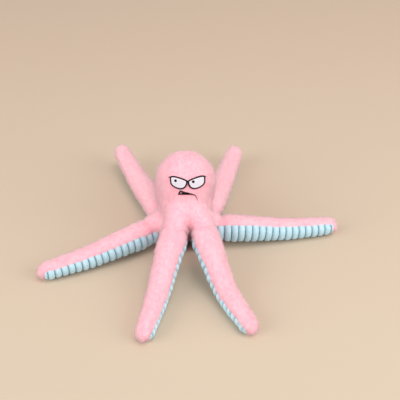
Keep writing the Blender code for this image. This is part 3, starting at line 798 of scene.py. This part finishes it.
    points = attach(spread.outputs["Points"], "lay", "FLOAT_VECTOR", "POINT", normal)
    points = attach(points, "tone", "FLOAT", "POINT", tone)
    source = addNode(tree, "GeometryNodeObjectInfo", {"Object": tuft}).outputs["Geometry"]
    placed = addNode(tree, "GeometryNodeInstanceOnPoints",
                     {"Points": points, "Selection": keep, "Instance": source, "Rotation": turned,
                      "Scale": size}).outputs[0]
    grown = addNode(tree, "GeometryNodeRealizeInstances", {"Geometry": placed}).outputs[0]
    across = addMath(tree, "MULTIPLY_ADD", read("tone", "FLOAT"), 0.9, 0.05)
    across = addNode(tree, "ShaderNodeCombineXYZ", {0: across}).outputs[0]
    place = addVector(tree, "ADD", read("OFBake", "FLOAT_VECTOR"), across)
    mapped = attach(grown, "OFBake", "FLOAT2", "CORNER", place)
    tree.links.new(mapped, tree.nodes.new("NodeGroupOutput").inputs[0])
    return tree


def growPile(name, backing, seed, faceHolder=None):
    # A piece of pile that grows from the backing, its shading softened towards the backing's.
    holder = addObject(name + "_holder", backing.data.copy())
    grow = holder.modifiers.new("pile", "NODES")
    grow.node_group = pileTree(name, seed, faceHolder)
    graph = bpy.context.evaluated_depsgraph_get()
    mesh = bpy.data.meshes.new_from_object(holder.evaluated_get(graph))
    bpy.data.objects.remove(holder)
    mesh.name = name
    count = len(mesh.vertices)
    lay, own = np.zeros(count * 3, np.float32), np.zeros(count * 3, np.float32)
    mesh.attributes["lay"].data.foreach_get("vector", lay)
    mesh.vertex_normals.foreach_get("vector", own)
    soft = lay.reshape(-1, 3) * pile["layShare"] + own.reshape(-1, 3) * (1 - pile["layShare"])
    soft /= np.linalg.norm(soft, axis=1)[:, None]
    mesh.shade_smooth()
    mesh.normals_split_custom_set_from_vertices(soft)
    for spare in ("lay", "tone", "nap", "trim"):
        if spare in mesh.attributes:
            mesh.attributes.remove(mesh.attributes[spare])
    places = np.zeros(count * 3, np.float32)
    mesh.vertices.foreach_get("co", places)
    places[2::3] = np.maximum(places[2::3], pile["lowest"])
    mesh.vertices.foreach_set("co", places)
    mesh.materials.clear()
    mesh.materials.append(pinkPile)
    made = addObject(name, mesh)
    made.visible_shadow = False  # light passes through fine pile
    print(name, len(mesh.polygons), "faces")
    return made


def buildLegs():
    for name, one in legs.items():
        covers, fillings, undersides = ([name + "_leg_" + half + part for half in ("inner_", "outer_")]
                                        for part in ("cover", "filling", "underside"))
        plush = legPlush(name + "_leg_plush", one)
        tufts = growPile(name + "_leg_pile", plush, one["seed"])
        ribs = ribbedUnderside(name + "_leg_ribs", one)
        before = restPoint(one, leg["knee"] - leg["kneeBlend"])
        after = restPoint(one, leg["knee"] + leg["kneeBlend"])
        for piece in (plush, tufts, ribs):
            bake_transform(piece)
        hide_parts(*covers, *fillings)
        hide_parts(*covers)
        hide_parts(*undersides)
    print("legs made")


# Face: sewn eyes and mouth, set out across and up on the front of the head before it leans

face = {
    "side": 0.0040, "height": 0.0934, "eyeWidth": 0.0220, "eyeGap": 0.0024, "eyeRise": 0.0043,
    "eyeBow": 0.0027, "bowShares": (0.60, 1.25), "eyeDrop": 0.0119, "roundShares": (0.95, 0.40),
    "lineHalf": 0.00115, "lineProud": 0.0007, "patchHeight": 0.0010, "pupilRadius": 0.0019,
    "pupils": {"left": (0.69, 0.80), "right": (0.29, 0.83)},
    "sink": -0.0006, "patchShare": 0.985, "patchBack": -0.0004, "patchFall": 0.35, "patchEdge": 8,
    "patchFaces": (96, 64), "pupilFaces": (42, 12), "threadAround": 12, "stitchSteps": 6, "leastStitches": 6,
    "threadRise": 0.00006, "threadPitch": 0.0009, "stitchPitch": 0.0007, "stitchRidge": 0.09,
    "lineSteps": 400, "lineSink": 0.0004, "pupilRidge": 0.05, "pupilThreads": 14, "pupilSink": -0.0001,
    "pupilRise": 0.0006,
    # Strokes of the mouth: across, up from the height of the face, half width, in millimetres.
    "mouth": [
        [(-13.2, -18.7, 0.35), (-12.0, -16.8, 0.8), (-10.8, -14.7, 1.0), (-9.6, -12.9, 0.7)],
        [(-9.9, -13.3, 0.7), (-8.4, -14.2, 1.0), (-6.2, -14.8, 1.1), (-3.6, -15.6, 1.2), (-0.8, -16.3, 1.2),
         (2.2, -17.1, 1.05), (6.0, -18.1, 0.85), (10.2, -19.4, 0.45)],
        [(-12.6, -17.8, 0.5), (-10.3, -17.8, 0.8), (-7.6, -17.7, 0.95), (-4.4, -17.6, 1.0),
         (-1.4, -17.7, 0.95), (2.6, -18.0, 0.7)],
        [(-7.4, -16.3, 0.5), (-4.6, -16.6, 0.9), (-1.6, -16.9, 0.8)],
        [(10.0, -19.3, 0.32), (11.6, -21.4, 0.28), (12.6, -23.8, 0.24), (13.5, -26.2, 0.15)],
    ],
    "corners": [[(-1.5, 0.1, 0.8), (0.0, -0.1, 0.85), (1.5, 0.1, 0.8)],
                [(-22.6, 4.7, 1.0), (-24.6, 5.0, 0.85), (-26.4, 4.6, 0.35)],
                [(22.6, 4.7, 1.0), (24.2, 5.0, 0.75), (25.4, 4.7, 0.3)]],
}


def onFace(x, z):
    x += face["side"]
    return leaned(Vector((x, -math.sqrt(max(0, bodyRadius(z) ** 2 - x ** 2)), z)))


def facePoint(x, z, proud):
    step = 0.0015
    across = onFace(x + step, z) - onFace(x - step, z)
    upward = onFace(x, z + step) - onFace(x, z - step)
    return onFace(x, z) + across.cross(upward).normalized() * proud


def eyeEdge(side, angle):
    across = (1 - math.cos(angle)) / 2
    x = side * (face["eyeGap"] / 2 + face["eyeWidth"] * across)
    lid = face["height"] + face["eyeRise"] * across
    if angle <= math.pi:
        return x, lid - face["eyeDrop"] * math.sin(angle) ** between(*face["roundShares"], across)
    return x, lid + face["eyeBow"] * between(*face["bowShares"], across) * math.sin(math.tau - angle)


def eyePatch(name, side):
    # A lens of satin stitching that fills the eye's outline.
    middle = (side * (face["eyeGap"] + face["eyeWidth"]) / 2,
              face["height"] + (face["eyeRise"] - face["eyeDrop"]) / 2)

    def place(turn, share):
        reach = math.sin(share * math.pi)
        edge = eyeEdge(side, turn % math.tau)
        x, z = (between(m, e, reach * face["patchShare"]) for m, e in zip(middle, edge))
        front = smooth((share - 0.5) * face["patchEdge"] + 0.5)
        ridge = face["threadRise"] * math.sin(x * math.tau / face["threadPitch"])
        outer = face["patchHeight"] * (1 - face["patchFall"] * reach ** 6) + ridge
        return facePoint(x, z, between(face["patchBack"], outer, front) + face["sink"])

    return shapedBall(name, *face["patchFaces"], place, eyeThread)


def stitched(name, path, halfWidths, closed, high):
    # Satin stitching along a path: a low rounded bead with a ridge for each pair of stitches.
    steps = face["lineSteps"]
    points = evenly([(*p, w) for p, w in zip(path, halfWidths)], steps)
    length = float(np.linalg.norm(np.diff(points[:, :2], axis=0), axis=1).sum())
    stitches = max(face["leastStitches"], round(length / face["stitchPitch"]))

    def place(share, turn):
        spot = share * steps
        low = min(steps - 1, int(spot))
        x, z, half = points[low] * (low + 1 - spot) + points[low + 1] * (spot - low)
        behind, ahead = points[max(0, low - 1)], points[min(steps, low + 2)]
        if closed:
            behind, ahead = points[(low - 1) % steps], points[(low + 2) % steps]
        dx, dz = ahead[0] - behind[0], ahead[1] - behind[1]
        size = math.hypot(dx, dz) or 1
        ridge = 1 + face["stitchRidge"] * math.cos(share * stitches * math.tau)
        offset = math.cos(turn) * half * ridge
        proud = math.sin(turn) * high * ridge * min(1, half / face["lineHalf"] + 0.25)
        return facePoint(x - dz / size * offset, z + dx / size * offset,
                         proud + face["sink"] + face["lineSink"])

    along = stitches * face["stitchSteps"]
    return shapedRing(name, along, face["threadAround"], place, maroonThread, closed)


def joined(name, objects):
    shape = bmesh.new()
    for one in objects:
        shape.from_mesh(one.data)
        bpy.data.objects.remove(one)
    return makeObject(name, shape, maroonThread)


def pupil(name, side, shares):
    x = side * (face["eyeGap"] / 2 + face["eyeWidth"] * shares[0])
    z = face["height"] + face["eyeRise"] * shares[0] - face["eyeDrop"] * (1 - shares[1])

    def place(turn, share):
        reach = math.sin(share * math.pi) * face["pupilRadius"]
        ridge = 1 + face["pupilRidge"] * math.cos(turn * face["pupilThreads"])
        rise = face["patchHeight"] + face["sink"] + face["pupilSink"]
        rise += face["pupilRise"] * (-math.cos(share * math.pi))
        return facePoint(x + reach * ridge * math.cos(turn), z + reach * ridge * math.sin(turn), rise)

    return shapedBall(name, *face["pupilFaces"], place, maroonThread)


def stroke(points):
    # A stitched line through points given across, up and half width, in millimetres.
    path = [(x / 1000, face["height"] + z / 1000) for x, z, _ in points]
    return stitched("stroke", path, [w / 1000 for _, _, w in points], False, face["lineProud"])


def buildFace():
    holder = bpy.data.collections.new("sewnFace")
    scene.collection.children.link(holder)
    pieces = []
    for sideName, side, corners in (("left", -1, (0, 1)), ("right", 1, (2,))):
        patch = eyePatch(sideName + "_eye_patch", side)
        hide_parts(sideName + "_eye_white")
        edge = [eyeEdge(side, math.tau * i / face["lineSteps"]) for i in range(face["lineSteps"] + 1)]
        ring = stitched("ring", edge, [face["lineHalf"]] * len(edge), True, face["lineProud"])
        line = joined(sideName + "_eye_outline", [ring, *(stroke(face["corners"][c]) for c in corners)])
        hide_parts(sideName + "_eye_line")
        dot = pupil(sideName + "_pupil_dot", side, face["pupils"][sideName])
        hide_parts(sideName + "_pupil")
        pieces += [patch, line, dot]
    mouth = joined("mouth_stitching", [stroke(points) for points in face["mouth"]])
    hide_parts("mouth")
    pieces.append(mouth)
    for piece in pieces:
        "patch" not in piece.name
        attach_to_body(piece, "body")
        holder.objects.link(piece)
    print("face made")
    return holder


def buildBody(faceHolder):
    mesh = grownBody()
    shape = bmesh.new()
    shape.from_mesh(mesh)
    shape.normal_update()
    for corner, normal in [(corner, corner.normal.copy()) for corner in shape.verts]:
        corner.co = recessed(leaned(corner.co + normal * bodyDetail(corner.co)))
        corner.co.z = max(corner.co.z, body["bottom"])
    plush = makeObject("body_plush", shape, pinkBacking)
    roots = []
    for one in legs.values():
        heading = math.radians(one["heading"][0])
        middle, _, _, up = legAxes(one, 0)
        outward = Vector((math.cos(heading), math.sin(heading), 0))
        roots.append((middle + up * one["perch"], outward, one["shoulder"]))
    nap, trim = [], []
    axis = Matrix.Rotation(-body["leanAngle"], 3, "X") @ Vector((0, 0, -1))
    for vertex in plush.data.vertices:
        co = vertex.co
        high = fade(co.z, body["leanStart"], body["napRise"])
        lies = axis * high + Vector((0, 0, -1)) * (1 - high)
        lies += Vector((co.x, co.y - body["napBack"], 0)) * body["napSpread"]
        lies += body["crownNap"] * fade(co.z, body["crownStart"], body["napRise"])
        long = fade(co.z, *body["hemFade"])
        for centre, outward, shoulder in roots:
            away = co - centre
            ahead = away.dot(outward)
            beside = (away - outward * ahead).length
            lies += outward * body["rootNap"] * (1 - fade(away.length, *body["rootFade"]))
            if away.length < shoulder + body["bareMargin"]:
                bare = fade(ahead, *body["bareAheadFade"]) * (1 - fade(beside, *body["bareBesideFade"]))
                long *= 1 - bare
        nap.append(lies)
        trim.append(long)
    store(plush.data, "nap", nap)
    store(plush.data, "trim", trim)
    tufts = growPile("body_pile", plush, 21, faceHolder)
    for piece in (plush, tufts):
        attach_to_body(piece, "body")
    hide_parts("head_front", "head_back", "crown_filling", "neck_filling")
    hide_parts("head_front", "head_back")
    print("body made")


base = {"radius": 0.033, "top": 0.0015, "ribPitch": 0.0095, "ribDepth": 0.0007, "ribPower": 0.6,
        "edge": 10, "faces": (96, 60)}


def baseRib(x):
    return abs(math.sin(math.pi * x / base["ribPitch"])) ** base["ribPower"]


def buildBase():
    # The ribbed panel under the body.
    def place(turn, share):
        reach = math.sin(share * math.pi) ** 0.5 * base["radius"]
        x, y = reach * math.cos(turn), reach * math.sin(turn)
        upper = smooth((share - 0.5) * base["edge"] + 0.5)
        point = recessed(Vector((x, y, between(base["ribDepth"] * (1 - baseRib(x)), base["top"], upper))))
        return Vector((point.x, point.y, min(base["top"], max(0, point.z))))

    made = shapedBall("base_ribs", *base["faces"], place, ribbedBlue)
    # The base's ribs get the same painted shade in the seams and painted highlight on the crests.
    store(made.data, "crest", [baseRib(vertex.co.x) for vertex in made.data.vertices])
    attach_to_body(made, "body")
    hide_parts("base_panel")


faceHolder = buildFace()
buildBody(faceHolder)
buildBase()
buildLegs()
bpy.data.objects.remove(tuft)


# What stays from the frame: the seam allowances and the squeaker

kept = {name + "_leg_seam": seamCloth for name in legs}
kept.update({name: squeakerPlastic for name in ("squeaker_bulb", "squeaker_reed")})
for name, material in kept.items():
    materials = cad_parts[name].data.materials
    materials.clear()
    materials.append(material)


# Floor and light

stage = {
    # The floor runs from pale at the front to deep at the back: painted shade, where the light falls off.
    "floorSize": 8.0, "pale": (0.64, 0.525, 0.405), "deep": (0.62, 0.48, 0.37),
    "world": 0.535, "sky": (1.0, 0.985, 0.97),
    # Each lamp: power, size, place and colour.
    "lamps": {
        "key": (14.0, 1.3, (0.5, -0.1, 2.0), (1.0, 0.98, 0.95)),
        "left": (46.0, 2.4, (-2.3, -1.0, 1.0), (1.0, 1.0, 1.0)),
        "right": (42.5, 2.4, (2.3, -1.0, 1.0), (1.0, 1.0, 1.0)),
    },
}


def addFloor():
    shape = bmesh.new()
    bmesh.ops.create_grid(shape, x_segments=2, y_segments=2, size=stage["floorSize"] / 2)
    made, tree, shader = newMaterial("paper", 0.8, specular=0.1)
    place = objectPlace(tree)
    parts = addNode(tree, "ShaderNodeSeparateXYZ", {0: place}).outputs
    # Painted shade: the floor turns darker towards the back.
    back = addRange(tree, parts[1], -0.25, 0.55, 0.0, 1.0)
    paint(tree, shader, addMix(tree, "MIX", back, stage["pale"], stage["deep"]))
    floor = makeObject("floor", shape, made)
    if floor.data.polygons[0].normal.z < 0:
        floor.data.flip_normals()


def addLight(name, energy, size, place, colour):
    lamp = bpy.data.lights.new(name, "AREA")
    lamp.energy = energy
    lamp.shape = "DISK"
    lamp.size = size
    lamp.color = colour
    made = addObject(name, lamp)
    made.location = place
    made.rotation_euler = Vector(place).to_track_quat("Z", "Y").to_euler()


addFloor()
for lampName, lamp in stage["lamps"].items():
    addLight(lampName, *lamp)
world = bpy.data.worlds.new("studio")
world.use_nodes = True
sky = world.node_tree.nodes["Background"].inputs
sky["Color"].default_value = (*stage["sky"], 1)
sky["Strength"].default_value = stage["world"]
scene.world = world
scene.view_settings.view_transform = "Standard"
